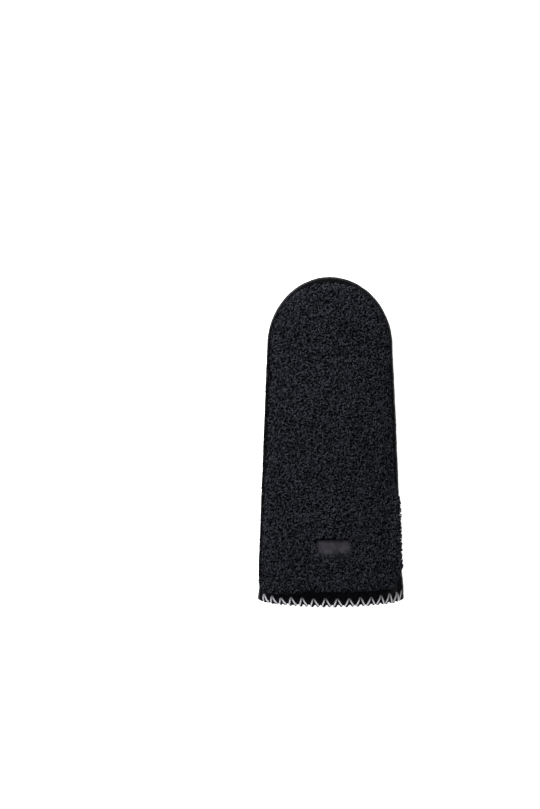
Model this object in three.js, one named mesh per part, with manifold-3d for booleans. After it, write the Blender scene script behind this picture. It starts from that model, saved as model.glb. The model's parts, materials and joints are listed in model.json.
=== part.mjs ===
// A sheepskin mitten for the right hand, lying palm down with its thumb folded
// under the palm: suede palm and thumb, curly wool on the back, raw seam edges
// all round, and a bare strip at the hem for the zigzag stitching.
// Millimetres, +Z up, +Y to the fingertips. The origin is on the surface it
// lies on, under the middle of the mitten.
import * as THREE from "three";
import { mergeVertices } from "three/addons/utils/BufferGeometryUtils.js";
import Module from "manifold-3d";

const wasm = await Module();
wasm.setup();

// The outline, seen from above
const length = 275; // hem to fingertip
const hemWidth = 121; // across the seam edges at the hem
const handWidth = 104; // across the seam edges where the fingertips start to round
const tipDepth = 58; // how much of the length the rounded fingertips take
const hemBow = 3; // how far the middle of the back's hem hangs below its corners
const hemBowReach = 40; // how far up the back follows that bow

// Walls and seams
const palmWall = 3; // suede with its shorn wool inside
const backWall = 2; // skin under the curly wool
const thumbWall = 2.5;
const seamEdge = 2.6; // width of the raw edges outside the stitch line
const seamEdgeThick = 1.3; // thickness of each of the two raw edges
const seamGap = 0.3; // between two pieces that are sewn face to face
const seatGap = 0.8; // between curved pieces that lie on each other

// Heights above the surface
const seamHeight = 12; // the side seam, where nothing lies under the palm
const seamLift = 8; // how much the thumb raises the seam on its own side
const backRiseHem = 23; // the back above the side seam, at the hem
const backRiseHand = 23; // the same over the hand
const backRiseTip = 17; // the same at the fingertips
const palmTurn = 0.32; // share of the half width in which the palm turns up to the seam
const backArch = 1.24; // the arched back from its middle to a side, as a share of the half width

// Wool on the back
const woolDepth = 6.4;
const woolRim = 1.4; // its depth where it ends
const woolShortening = 11; // distance over which it gets shorter at its edges
const woolHem = 9; // bare skin between the wool and the hem
const woolSideLeft = 3.4; // from the raw edge to the wool, left
const woolSideRight = 4.6; // the same on the right
const woolTop = 1.6; // how much more is bare at the fingertips
const woolCornerLeft = 6; // rounding of the wool's two corners at the hem
const woolCornerRight = 16;
const lockHeight = 1.1; // how far a lock stands above or below the mean
const lockPitch = 6.4; // from the top of a lock to the hollow beside it
const lockAtRim = 0.2; // share of a lock's height that is left at the wool's edge
const lockUneven = { share: 0.45, alongX: 1.7, alongY: 2.9 }; // how the locks' heights differ
const lockFade = 0.7; // share of the rounded fingertips where the locks get lower to the middle

// Label
const labelWidth = 29;
const labelHeight = 14.5;
const labelThick = 1.2;
const labelUp = 48; // its middle above the hem
const labelRight = 2; // its middle right of the mitten's middle
const labelSeat = 2.6; // wool under the label, from the skin up
const labelGap = 0.8; // between the label's edge and the wool around it
const labelCorner = 2;
const labelRings = [0, 0.45, 0.8, 1]; // shares from its middle to its edge

// Thumb, as it lies under the palm
const thumbThick = 14; // pressed flat between the palm and the surface
const thumbGap = 0.8; // between the thumb and the palm over it
const thumbBaseWidth = 51; // the oval where the thumb is sewn in
const thumbBaseLength = 68;
const thumbBaseUp = 79; // the oval's middle above the hem
const thumbBaseIn = 2; // palm between the oval and the stitch line
const thumbRootWidth = 41.6; // the thumb just above the oval
const thumbTipWidth = 34;
const thumbTube = 54; // from there to where its tip starts to round
const thumbTurn = 5; // from the oval's far end to the full thumb
const thumbDrift = 1.7; // how far the thumb's root lies inwards of the oval's middle
const thumbLean = THREE.MathUtils.degToRad(19); // lean towards the other side
const thumbPress = 1.4; // how much its underside is pressed flat
const thumbRidge = 1.2; // raised edges along its two seams
const thumbSquare = 2.6; // how full its cross section is, 2 is an ellipse
const thumbTipFull = 0.55; // how soon its tip gets thin, 1 is a half round
const thumbApex = THREE.MathUtils.degToRad(-73); // where the inner seam meets the oval
const thumbHeel = THREE.MathUtils.degToRad(155); // where the outer seam meets it
const palmFall = 22; // width of the slope from over the thumb down to the surface
const palmLiftFrom = 30; // how far before the oval that slope starts

// How fine the facets are
const palmGrid = { columns: 11, step: 8.6 };
const backGrid = { columns: 7, step: 10.5 };
const thumbColumns = 12;
const tipRings = 5;

const colours = { suede: 0x171918, skin: 0x151619, wool: 0x232429, label: 0x39373d };

// The thumb's rings from the palm's inner face to the full thumb. `turn` is how far a
// ring has gone from the oval to the tube, `fall` the same for its height.
const thumbRings = [
  { turn: 0, fall: 0, stand: palmWall, ridge: 0 },
  { turn: 0, fall: 0, stand: -seatGap, ridge: 0 },
  { turn: 0.06, fall: 0.62, stand: -seatGap, ridge: 0.3 },
  { turn: 0.17, fall: 0.86, stand: -seatGap, ridge: 0.7 },
  { turn: 0.34, fall: 0.96, stand: -seatGap, ridge: 1 },
  { turn: 0.55, fall: 1, stand: -seatGap, ridge: 1 },
  { turn: 0.78, fall: 1, stand: -seatGap, ridge: 1 },
];
const tubeShares = [0, 0.25, 0.5, 0.75, 1]; // rings along the thumb's straight part
const weld = 1e-3; // points closer than this are one point

const roundFrom = length - tipDepth; // where the fingertips start to round
const smooth = (from, to, x) => THREE.MathUtils.smoothstep(x, from, to);
const mix = THREE.MathUtils.lerp;

// The outline's half width at a height above the hem, below the round
const halfWidth = (y) => mix(hemWidth, handWidth, Math.min(y / roundFrom, 1)) / 2;

// 0 on the stitch line, 1 on the mitten's middle line
function inward(x, y) {
  const across = Math.abs(x) / (halfWidth(y) - seamEdge);
  const up = Math.max(y - roundFrom, 0) / (tipDepth - seamEdge);
  return THREE.MathUtils.clamp(1 - Math.hypot(across, up), 0, 1);
}

// The thumb's place in plan
const thumbBase = new THREE.Vector2(
  -(halfWidth(thumbBaseUp) - seamEdge - thumbBaseIn - thumbBaseWidth / 2),
  thumbBaseUp,
);
const thumbStart = new THREE.Vector2(thumbBase.x, thumbBase.y - thumbBaseLength / 2);
const thumbRoot = new THREE.Vector2(
  thumbBase.x + thumbDrift,
  thumbBase.y + thumbBaseLength / 2 + thumbTurn,
);
const thumbAxis = new THREE.Vector2(Math.sin(thumbLean), Math.cos(thumbLean));
const thumbAcross = new THREE.Vector2(thumbAxis.y, -thumbAxis.x);
const thumbRound = thumbRoot.clone().addScaledVector(thumbAxis, thumbTube);

function distanceToLine(point, from, to) {
  const span = to.clone().sub(from);
  const share = point.clone().sub(from).dot(span) / span.lengthSq();
  return point.distanceTo(span.multiplyScalar(THREE.MathUtils.clamp(share, 0, 1)).add(from));
}

// How far the thumb lifts the palm at a point in plan
function thumbLift(x, y) {
  const point = new THREE.Vector2(x, y);
  const beside = Math.min(
    distanceToLine(point, thumbStart, thumbRoot),
    distanceToLine(point, thumbRoot, thumbRound),
  );
  const full = thumbBaseWidth / 2 + seatGap * 2;
  const rise = smooth(thumbStart.y - palmLiftFrom, thumbRoot.y - thumbTurn * 2, y);
  return (thumbThick + thumbGap) * rise * (1 - smooth(full, full + palmFall, beside));
}

// The middle of the side seam, higher on the thumb's side
function seamZ(x, y) {
  const up = smooth(thumbBase.y - thumbBaseLength, thumbBase.y, y);
  const down = smooth(thumbRound.y - thumbThick, thumbRound.y + thumbTipWidth + thumbThick, y);
  const side = THREE.MathUtils.clamp(0.5 - x / (2 * halfWidth(y)), 0, 1);
  return seamHeight + seamLift * up * (1 - down) * side;
}

// The palm over a point in plan, `sink` into its wall; `share` is 1 on the stitch line
function palmHeight(x, y, share, sink) {
  const rest = thumbLift(x, y) + sink;
  const seam = seamZ(x, y) - (sink > 0 ? seamGap / 2 : seamEdgeThick);
  const turn = Math.max(1 - (1 - share) / palmTurn, 0);
  return mix(rest, seam, 1 - Math.sqrt(1 - turn * turn));
}

// The same for the back
function backHeight(x, y, share, sink) {
  const toHand = mix(backRiseHem, backRiseHand, smooth(0, thumbRoot.y, y));
  const rise = mix(toHand, backRiseTip, smooth(thumbRound.y - thumbThick, roundFrom, y));
  const seam = sink > 0 ? seamGap / 2 : seamEdgeThick;
  const dome = rise + seamEdgeThick - seam - sink;
  return seamZ(x, y) + seam + dome * Math.sqrt(Math.max(1 - share * share, 0));
}

// A point at a distance above the back's skin
const slopeStep = 0.2;
function overBack(x, y, distance) {
  const height = (px, py) => backHeight(px, py, 1 - inward(px, py), 0);
  const dx = height(x + slopeStep, y) - height(x - slopeStep, y);
  const dy = height(x, y + slopeStep) - height(x, y - slopeStep);
  const up = new THREE.Vector3(-dx, -dy, 2 * slopeStep).normalize();
  return new THREE.Vector3(x, y, height(x, y)).addScaledVector(up, distance);
}

// Stations round the outline, from the left hem corner over the fingertips to the
// right one, each with a point on the middle line and one at a distance from the edge
function stationsAround(step, start, distanceFromEdge) {
  const rows = Math.max(Math.round((roundFrom - start) / step), 2);
  const arcs = 2 * Math.max(Math.round((Math.PI * handWidth) / 4 / step), 3);
  const stations = [];
  const addSide = (sign, row) => {
    const y = mix(start, roundFrom, row / rows);
    const line = new THREE.Vector2(sign * (halfWidth(y) - distanceFromEdge(sign, y)), y);
    stations.push({ line, middle: new THREE.Vector2(0, y) });
  };
  for (let row = 0; row < rows; row++) addSide(-1, row);
  for (let k = 0; k <= arcs; k++) {
    const angle = Math.PI * (1 - k / arcs);
    const cut = distanceFromEdge(Math.cos(angle), roundFrom + tipDepth * Math.sin(angle));
    const line = new THREE.Vector2(
      (handWidth / 2 - cut) * Math.cos(angle),
      roundFrom + (tipDepth - cut) * Math.sin(angle),
    );
    stations.push({ line, middle: new THREE.Vector2(0, roundFrom) });
  }
  for (let row = rows - 1; row >= 0; row--) addSide(1, row);
  return stations;
}

// The back's hem hangs lower in the middle, and what is above it follows
function bowed(plan) {
  const share = Math.min(Math.abs(plan.x) / halfWidth(plan.y), 1);
  const fade = 1 - smooth(hemBow, hemBow + hemBowReach, plan.y);
  return new THREE.Vector2(plan.x, plan.y - hemBow * (1 - share * share) * fade);
}

// A solid between two grids of points, closed along its borders. A border where the
// grid meets itself is left to that.
function solidBetween(outer, inner, open = []) {
  const positions = [];
  const triangle = (a, b, c) => {
    const sides = [a.distanceTo(b), b.distanceTo(c), c.distanceTo(a)];
    if (Math.min(...sides) > 2 * weld) positions.push(...a, ...b, ...c);
  };
  const quad = (a, b, c, d) => {
    triangle(a, b, c);
    triangle(a, c, d);
  };
  const rows = outer.length - 1;
  const columns = outer[0].length - 1;
  for (let i = 0; i < rows; i++) {
    const [o, p, q, r] = [outer[i], outer[i + 1], inner[i], inner[i + 1]];
    for (let j = 0; j < columns; j++) {
      quad(o[j], p[j], p[j + 1], o[j + 1]);
      quad(q[j], q[j + 1], r[j + 1], r[j]);
    }
    if (!open.includes("last column")) quad(o[columns], p[columns], r[columns], q[columns]);
    if (!open.includes("first column")) quad(p[0], o[0], q[0], r[0]);
  }
  for (let j = 0; j < columns; j++) {
    const [o, p, q, r] = [outer[0], outer[rows], inner[0], inner[rows]];
    if (!open.includes("first row")) quad(o[j], o[j + 1], q[j + 1], q[j]);
    if (!open.includes("last row")) quad(p[j + 1], p[j], r[j], r[j + 1]);
  }
  const geometry = new THREE.BufferGeometry();
  geometry.setAttribute("position", new THREE.Float32BufferAttribute(positions, 3));
  return facingOut(mergeVertices(geometry, weld));
}

// Turns the faces round where the grid ran the other way
function facingOut(geometry) {
  const corners = Array.from(geometry.index.array);
  const { position } = geometry.attributes;
  const point = (k) => new THREE.Vector3().fromBufferAttribute(position, corners[k]);
  let volume = 0;
  for (let i = 0; i < corners.length; i += 3) {
    volume += point(i).dot(point(i + 1).cross(point(i + 2)));
  }
  if (volume < 0) geometry.setIndex(corners.reverse());
  return geometry;
}

function manifoldOf(geometry) {
  const bare = geometry.clone();
  bare.deleteAttribute("normal");
  bare.deleteAttribute("uv");
  const { attributes, index } = mergeVertices(bare, weld);
  const vertProperties = attributes.position.array;
  const triVerts = new Uint32Array(index.array);
  return new wasm.Manifold(new wasm.Mesh({ numProp: 3, vertProperties, triVerts }));
}

// Cuts one closed geometry out of another
function cutOut(geometry, tool) {
  const mesh = manifoldOf(geometry).subtract(manifoldOf(tool)).getMesh();
  const cut = new THREE.BufferGeometry();
  cut.setAttribute("position", new THREE.BufferAttribute(mesh.vertProperties, 3));
  cut.setIndex(new THREE.BufferAttribute(mesh.triVerts, 1));
  return cut;
}

// One sewn panel with its raw edge. Rows near the stitch line are closer together.
function sewnPanel(grid, height, wall, edgeSide, follow) {
  const outer = [];
  const inner = [];
  for (const { line, middle } of stationsAround(grid.step, hemBow, () => seamEdge)) {
    const outward = line.clone().sub(middle).normalize();
    const side = (sink) => {
      const points = [];
      const last = line.clone().addScaledVector(outward, -sink);
      for (let j = 0; j <= grid.columns; j++) {
        const share = Math.sin((Math.PI / 2) * (j / grid.columns));
        const plan = follow(middle.clone().lerp(last, share));
        points.push(new THREE.Vector3(plan.x, plan.y, height(plan.x, plan.y, share, sink)));
      }
      const edge = line.clone().addScaledVector(outward, seamEdge);
      const thick = sink > 0 ? seamGap / 2 : seamEdgeThick;
      points.push(new THREE.Vector3(edge.x, edge.y, seamZ(edge.x, edge.y) + edgeSide * thick));
      return points;
    };
    outer.push(side(0));
    inner.push(side(wall));
  }
  return solidBetween(outer, inner, ["first column"]);
}

// The oval hole for the thumb, through the palm
function thumbHole() {
  const oval = new THREE.Shape();
  const [a, b] = [thumbBaseWidth / 2 + seamGap, thumbBaseLength / 2 + seamGap];
  oval.absellipse(thumbBase.x, thumbBase.y, a, b, 0, 2 * Math.PI, false, 0);
  const depth = 2 * (seamHeight + seamLift + thumbThick);
  const steps = { depth, bevelEnabled: false, curveSegments: 2 * thumbColumns };
  return new THREE.ExtrudeGeometry(oval, steps).translate(0, 0, -depth / 2);
}

// One half of the thumb: the front faces the surface, the back faces the palm
function thumbHalf(isFront) {
  const middle = thumbThick / 2;
  const facing = isFront ? -1 : 1;
  const press = isFront ? thumbPress : 0;
  const clear = (2 * seamGap) / (thumbBaseWidth + thumbBaseLength); // half a gap, as an angle
  const [from, to] = isFront
    ? [thumbHeel + clear, 2 * Math.PI + thumbApex - clear]
    : [thumbApex + clear, thumbHeel - clear];

  const onOval = (share, sink, stand) => {
    const angle = mix(from, to, share);
    const x = thumbBase.x + (thumbBaseWidth / 2 - sink) * Math.cos(angle);
    const y = thumbBase.y + (thumbBaseLength / 2 - sink) * Math.sin(angle);
    return new THREE.Vector3(x, y, palmHeight(x, y, 1 - inward(x, y), 0) + stand);
  };

  // A point of a cross section at `along` the axis, `half` wide and `full` of its thickness
  const onTube = (share, sink, { along, half, full, ridge, ridgeTurn }) => {
    const angle = Math.PI * (isFront ? 1 + share : share);
    const power = 2 / thumbSquare;
    const isEdge = share === 0 || share === 1;
    const side = Math.sign(Math.cos(angle)) * (isEdge ? 1 : Math.abs(Math.cos(angle)) ** power);
    const lip = isEdge && sink === 0 ? ridge : 0;
    const plan = thumbRoot.clone().addScaledVector(thumbAxis, along + lip * Math.sin(ridgeTurn));
    plan.addScaledVector(thumbAcross, side * (half + lip * Math.cos(ridgeTurn)));
    const deep = Math.max((middle - seamGap / 2 + press) * full - sink, 0);
    const rise = isEdge ? 0 : deep * Math.abs(Math.sin(angle)) ** power;
    const z = Math.max(middle + facing * (seamGap / 2 + rise), sink);
    return new THREE.Vector3(plan.x, plan.y, z);
  };

  const outer = [];
  const inner = [];
  const addRing = (make) => {
    const ring = (sink) =>
      Array.from({ length: thumbColumns + 1 }, (_, j) => make(j / thumbColumns, sink));
    outer.push(ring(0));
    inner.push(ring(thumbWall));
  };
  const halfRoot = thumbRootWidth / 2;
  for (const { turn, fall, stand, ridge } of thumbRings) {
    addRing((share, sink) => {
      const section = { along: 0, half: halfRoot - sink, full: 1, ridge: 0, ridgeTurn: 0 };
      const start = onOval(share, sink, stand);
      const end = onTube(share, sink, section);
      const point = start.clone().lerp(end, turn);
      point.z = mix(start.z, end.z, fall);
      const isEdge = share === 0 || share === 1;
      const lip = isEdge && sink === 0 ? thumbRidge * ridge : 0;
      const side = (share === 0) === isFront ? -1 : 1;
      point.x += thumbAcross.x * side * lip;
      point.y += thumbAcross.y * side * lip;
      return point;
    });
  }
  for (const share of tubeShares) {
    const half = mix(thumbRootWidth, thumbTipWidth, share) / 2;
    const section = { along: thumbTube * share, full: 1, ridge: thumbRidge, ridgeTurn: 0 };
    addRing((place, sink) => onTube(place, sink, { ...section, half: half - sink }));
  }
  for (let k = 1; k <= tipRings; k++) {
    const ridgeTurn = (Math.PI / 2) * (k / tipRings);
    const full = k === tipRings ? 0 : Math.cos(ridgeTurn) ** thumbTipFull;
    addRing((place, sink) => {
      const radius = thumbTipWidth / 2 - sink;
      const along = thumbTube + radius * Math.sin(ridgeTurn);
      const half = k === tipRings ? 0 : radius * Math.cos(ridgeTurn);
      return onTube(place, sink, { along, half, full, ridge: thumbRidge, ridgeTurn });
    });
  }
  return solidBetween(outer, inner, ["last row"]);
}

// The curly wool: a backing with locks, shorter towards its edges
function wool() {
  const start = hemBow + woolHem;
  const distanceFromEdge = (sign, y) => {
    const side = mix(woolSideLeft, woolSideRight, (1 + Math.max(Math.min(sign, 1), -1)) / 2);
    const corner = sign < 0 ? woolCornerLeft : woolCornerRight;
    const inCorner = Math.max(1 - (y - start) / corner, 0);
    const rounding = corner * (1 - Math.sqrt(1 - inCorner * inCorner));
    return side + rounding + woolTop * smooth(roundFrom, length, y);
  };
  const columns = Math.round((backArch * handWidth) / 2 / lockPitch);
  const outer = [];
  const inner = [];
  const stations = stationsAround(lockPitch, start, distanceFromEdge);
  stations.forEach(({ line, middle }, i) => {
    const lastShare = 1 - inward(line.x, line.y);
    const lastAngle = Math.asin(lastShare);
    const plans = [];
    for (let j = 0; j <= columns; j++) {
      const share = Math.sin(lastAngle * (j / columns)) / lastShare;
      plans.push(bowed(middle.clone().lerp(line, share)));
    }
    const isEnd = i === 0 || i === stations.length - 1;
    const seat = isEnd ? woolRim : seatGap; // the hem's edge stands off the skin a little
    const skin = plans.map((plan) => overBack(plan.x, plan.y, seat));
    const top = plans.map((plan, j) => {
      let toEdge = 0;
      for (let k = j; k < columns; k++) toEdge += skin[k].distanceTo(skin[k + 1]);
      const fromHem = isEnd ? 0 : middle.y - start;
      const near = Math.min(toEdge / woolShortening, fromHem / woolShortening, 1);
      const depth = mix(woolRim, woolDepth, Math.sqrt(1 - (1 - near) ** 2));
      const room = middle.y < roundFrom ? 1 : Math.min(j / columns / lockFade, 1) ** 2;
      const isBorder = isEnd || j === columns || j === 0;
      const { share, alongX, alongY } = lockUneven;
      const wave = ((i + j) % 2 ? 1 : -1) + share * Math.sin(plan.x * alongX + plan.y * alongY);
      const lock = isBorder ? 0 : lockHeight * room * wave * mix(lockAtRim, 1, near);
      return overBack(plan.x, plan.y, seat + depth + lock);
    });
    outer.push(top);
    inner.push(skin);
  });
  return solidBetween(outer, inner, ["first column"]);
}

// A slab over a rounded rectangle on the back, between two distances from the skin
function slabOnBack(width, height, corner, from, to) {
  const outline = [];
  const cornerSteps = 3;
  [[1, 1], [-1, 1], [-1, -1], [1, -1]].forEach(([sx, sy], quarter) => {
    for (let k = 0; k <= cornerSteps; k++) {
      const angle = (Math.PI / 2) * (quarter + k / cornerSteps);
      const x = sx * (width / 2 - corner) + corner * Math.cos(angle);
      const y = sy * (height / 2 - corner) + corner * Math.sin(angle);
      outline.push(new THREE.Vector2(x, y));
    }
  });
  outline.push(outline[0].clone());
  const onRing = ({ x, y }, share, distance) =>
    overBack(labelRight + x * share, labelUp + y * share, distance);
  const layer = (distance) =>
    outline.map((point) => labelRings.map((share) => onRing(point, share, distance)));
  return solidBetween(layer(to), layer(from), ["first column", "first row", "last row"]);
}

function label() {
  const from = labelSeat + seamGap;
  return slabOnBack(labelWidth, labelHeight, labelCorner, from, from + labelThick);
}

function labelPocket() {
  const [width, height] = [labelWidth + 2 * labelGap, labelHeight + 2 * labelGap];
  const above = seatGap + woolDepth + 4 * lockHeight;
  return slabOnBack(width, height, labelCorner + labelGap, labelSeat, above);
}

const straight = (plan) => plan;
const palm = sewnPanel(palmGrid, palmHeight, palmWall, -1, straight);
const pieces = [
  { name: "palm_panel", look: "suede", geometry: cutOut(palm, thumbHole()) },
  { name: "back_panel", look: "skin", geometry: sewnPanel(backGrid, backHeight, backWall, 1, bowed) },
  { name: "back_fleece", look: "wool", geometry: cutOut(wool(), labelPocket()) },
  { name: "label_patch", look: "label", geometry: label() },
  { name: "thumb_front", look: "suede", geometry: thumbHalf(true) },
  { name: "thumb_back", look: "suede", geometry: thumbHalf(false) },
];

const mitten = new THREE.Group();
mitten.name = "mitten";
for (const { name, look, geometry } of pieces) {
  geometry.translate(0, -length / 2, 0);
  geometry.computeVertexNormals();
  const material = new THREE.MeshStandardMaterial({ color: colours[look], roughness: 0.95 });
  const mesh = new THREE.Mesh(geometry, material);
  mesh.name = name;
  mitten.add(mesh);
}

export default mitten;
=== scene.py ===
# A sheepskin mitten for the right hand, lying palm down with its thumb under the palm.
# Lengths are in millimetres from the hem's corners until a mesh is made, which is in metres.
import json
import math
from functools import partial

import bmesh
import bpy
import numpy as np
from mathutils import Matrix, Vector
from mathutils.kdtree import KDTree

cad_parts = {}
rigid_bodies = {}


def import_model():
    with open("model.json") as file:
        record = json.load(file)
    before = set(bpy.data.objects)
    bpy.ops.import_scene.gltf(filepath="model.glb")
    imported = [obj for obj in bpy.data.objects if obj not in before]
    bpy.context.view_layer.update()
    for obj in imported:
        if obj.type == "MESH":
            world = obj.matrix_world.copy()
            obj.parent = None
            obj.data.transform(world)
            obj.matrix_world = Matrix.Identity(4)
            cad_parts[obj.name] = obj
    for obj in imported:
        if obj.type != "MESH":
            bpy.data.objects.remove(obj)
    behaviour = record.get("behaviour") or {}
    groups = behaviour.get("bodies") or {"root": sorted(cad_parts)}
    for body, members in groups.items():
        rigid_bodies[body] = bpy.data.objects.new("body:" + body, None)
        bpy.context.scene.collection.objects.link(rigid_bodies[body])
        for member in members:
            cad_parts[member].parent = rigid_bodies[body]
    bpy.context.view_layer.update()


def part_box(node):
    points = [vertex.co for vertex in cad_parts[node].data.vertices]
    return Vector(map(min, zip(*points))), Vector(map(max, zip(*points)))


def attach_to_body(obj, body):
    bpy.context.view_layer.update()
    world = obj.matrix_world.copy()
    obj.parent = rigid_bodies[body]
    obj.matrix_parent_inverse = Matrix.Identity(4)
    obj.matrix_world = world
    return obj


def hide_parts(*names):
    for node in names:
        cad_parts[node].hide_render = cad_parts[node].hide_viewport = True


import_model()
mm = 0.001

# Shape of the whole, as the solids have it
lowest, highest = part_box("back_panel")
length = (highest.y - lowest.y) / mm
hemWidth = (highest.x - lowest.x) / mm
shape = {
    "handWidth": 104,
    "tipDepth": 58,
    "hemBow": 3,
    "hemBowReach": 40,
    "palmWall": 3,
    "backWall": 2,
    "thumbWall": 2.5,
    "seamEdge": 2.6,
    "seamEdgeThick": 1.3,
    "seamGap": 0.3,
    "seatGap": 0.8,
    "seamHeight": 12,
    "seamLift": 8,
    "backRiseHem": 23,
    "backRiseHand": 23,
    "backRiseTip": 17,
    "palmTurn": 0.32,
}
thumb = {
    "thick": 14,
    "gap": 0.8,
    "baseWidth": 51,
    "baseLength": 68,
    "baseUp": 79,
    "baseIn": 2,
    "rootWidth": 41.6,
    "tipWidth": 34,
    "tube": 54,
    "turn": 5,
    "drift": 1.7,
    "lean": math.radians(19),
    "press": 1.4,
    "ridge": 1.2,
    "square": 2.6,
    "tipFull": 0.55,
    "apex": math.radians(-73),
    "heel": math.radians(155),
    "palmFall": 22,
    "palmLiftFrom": 30,
}
roundFrom = length - shape["tipDepth"]  # where the fingertips start to round


def smooth(low, high, value):
    share = np.clip((np.asarray(value, float) - low) / (high - low), 0, 1)
    return share * share * (3 - 2 * share)


def mix(a, b, share):
    return a + (b - a) * share


def halfWidth(y):
    return mix(hemWidth, shape["handWidth"], np.minimum(y / roundFrom, 1)) / 2


def inward(x, y):  # 0 on the stitch line, 1 on the middle line
    across = np.abs(x) / (halfWidth(y) - shape["seamEdge"])
    up = np.maximum(y - roundFrom, 0) / (shape["tipDepth"] - shape["seamEdge"])
    return np.clip(1 - np.hypot(across, up), 0, 1)


thumbBase = np.array([
    -(halfWidth(thumb["baseUp"]) - shape["seamEdge"] - thumb["baseIn"] - thumb["baseWidth"] / 2),
    thumb["baseUp"],
])
thumbStart = thumbBase - [0, thumb["baseLength"] / 2]
thumbRoot = thumbBase + [thumb["drift"], thumb["baseLength"] / 2 + thumb["turn"]]
thumbAxis = np.array([math.sin(thumb["lean"]), math.cos(thumb["lean"])])
thumbAcross = np.array([thumbAxis[1], -thumbAxis[0]])
thumbRound = thumbRoot + thumbAxis * thumb["tube"]


def distanceToLine(x, y, start, end):
    span = end - start
    share = np.clip(((x - start[0]) * span[0] + (y - start[1]) * span[1]) / (span @ span), 0, 1)
    return np.hypot(x - start[0] - share * span[0], y - start[1] - share * span[1])


def thumbLift(x, y):
    beside = np.minimum(
        distanceToLine(x, y, thumbStart, thumbRoot), distanceToLine(x, y, thumbRoot, thumbRound)
    )
    full = thumb["baseWidth"] / 2 + shape["seatGap"] * 2
    rise = smooth(thumbStart[1] - thumb["palmLiftFrom"], thumbRoot[1] - thumb["turn"] * 2, y)
    return (thumb["thick"] + thumb["gap"]) * rise * (1 - smooth(full, full + thumb["palmFall"], beside))


def seamZ(x, y):
    up = smooth(thumbBase[1] - thumb["baseLength"], thumbBase[1], y)
    down = smooth(thumbRound[1] - thumb["thick"], thumbRound[1] + thumb["tipWidth"] + thumb["thick"], y)
    side = np.clip(0.5 - x / (2 * halfWidth(y)), 0, 1)
    return shape["seamHeight"] + shape["seamLift"] * up * (1 - down) * side


def palmHeight(x, y, share, sink):
    rest = thumbLift(x, y) + sink
    seam = seamZ(x, y) - (shape["seamGap"] / 2 if sink > 0 else shape["seamEdgeThick"])
    turn = np.maximum(1 - (1 - share) / shape["palmTurn"], 0)
    return mix(rest, seam, 1 - np.sqrt(1 - turn * turn))


def backHeight(x, y, share, sink):
    toHand = mix(shape["backRiseHem"], shape["backRiseHand"], smooth(0, thumbRoot[1], y))
    rise = mix(toHand, shape["backRiseTip"], smooth(thumbRound[1] - thumb["thick"], roundFrom, y))
    seam = shape["seamGap"] / 2 if sink > 0 else shape["seamEdgeThick"]
    dome = rise + shape["seamEdgeThick"] - seam - sink
    return seamZ(x, y) + seam + dome * np.sqrt(np.maximum(1 - share * share, 0))


def unit(vectors):
    return vectors / np.linalg.norm(vectors, axis=-1, keepdims=True)


def upFrom(height, x, y):  # which way is straight up from the surface that a height function gives
    step = 0.2
    dx = height(x + step, y) - height(x - step, y)
    dy = height(x, y + step) - height(x, y - step)
    return unit(np.stack([-dx, -dy, np.full_like(dx, 2 * step)], -1))


def overBack(x, y, distance):  # points at a distance above the back's skin
    def height(px, py):
        return backHeight(px, py, 1 - inward(px, py), 0)

    return np.stack([x, y, height(x, y)], -1) + upFrom(height, x, y) * np.asarray(distance)[..., None]


def stationsAround(step, start, distanceFromEdge):  # lines from the middle to the outline
    rows = round((roundFrom - start) / step)
    arcs = 2 * round(math.pi * shape["handWidth"] / 4 / step)
    line, middle = [], []

    def addSide(sign, row):
        y = mix(start, roundFrom, row / rows)
        line.append((sign * (halfWidth(y) - distanceFromEdge(sign, y)), y))
        middle.append((0, y))

    for row in range(rows):
        addSide(-1, row)
    for k in range(arcs + 1):
        angle = math.pi * (1 - k / arcs)
        y = roundFrom + shape["tipDepth"] * math.sin(angle)
        cut = distanceFromEdge(math.cos(angle), y)
        line.append((
            (shape["handWidth"] / 2 - cut) * math.cos(angle),
            roundFrom + (shape["tipDepth"] - cut) * math.sin(angle),
        ))
        middle.append((0, roundFrom))
    for row in range(rows - 1, -1, -1):
        addSide(1, row)
    return np.array(line, float), np.array(middle, float)


def bowed(plan):
    x, y = plan[..., 0], plan[..., 1]
    share = np.minimum(np.abs(x) / halfWidth(y), 1)
    fade = 1 - smooth(shape["hemBow"], shape["hemBow"] + shape["hemBowReach"], y)
    return np.stack([x, y - shape["hemBow"] * (1 - share * share) * fade], -1)


def unevenness(x, y, size):  # soft hand-made waves, in millimetres, for waves of about that size
    k = 2 * math.pi / size
    first = np.sin(k * (0.83 * x + 0.41 * y) + 1.3) * np.sin(k * (0.29 * x - 0.77 * y) + 0.4)
    second = np.sin(k * (1.61 * x - 0.53 * y) + 2.1) * np.sin(k * (0.67 * x + 1.43 * y))
    return 0.6 * first + 0.4 * second


def toMetres(points):
    return (np.asarray(points, float) + [0, -length / 2, 0]) * mm


def addObject(name, data):
    made = bpy.data.objects.new(name, data)
    bpy.context.scene.collection.objects.link(made)
    return made


def makeObject(name, vertices, faces, kinds, surfaces):
    mesh = bpy.data.meshes.new(name)
    mesh.from_pydata(toMetres(vertices).tolist(), [], faces)
    mesh.polygons.foreach_set("material_index", kinds)
    work = bmesh.new()
    work.from_mesh(mesh)
    bmesh.ops.remove_doubles(work, verts=work.verts, dist=2e-6)
    bmesh.ops.dissolve_degenerate(work, edges=work.edges, dist=1e-7)
    if work.calc_volume(signed=True) < 0:
        bmesh.ops.reverse_faces(work, faces=work.faces)
    openEdges = sum(1 for edge in work.edges if len(edge.link_faces) != 2)
    work.to_mesh(mesh)
    work.free()
    for surface in surfaces:
        mesh.materials.append(surface)
    mesh.shade_smooth()
    mesh.set_sharp_from_angle(angle=math.radians(48))
    print("made", name, len(mesh.polygons), "faces,", openEdges, "open edges")
    return addObject(name, mesh)


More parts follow.
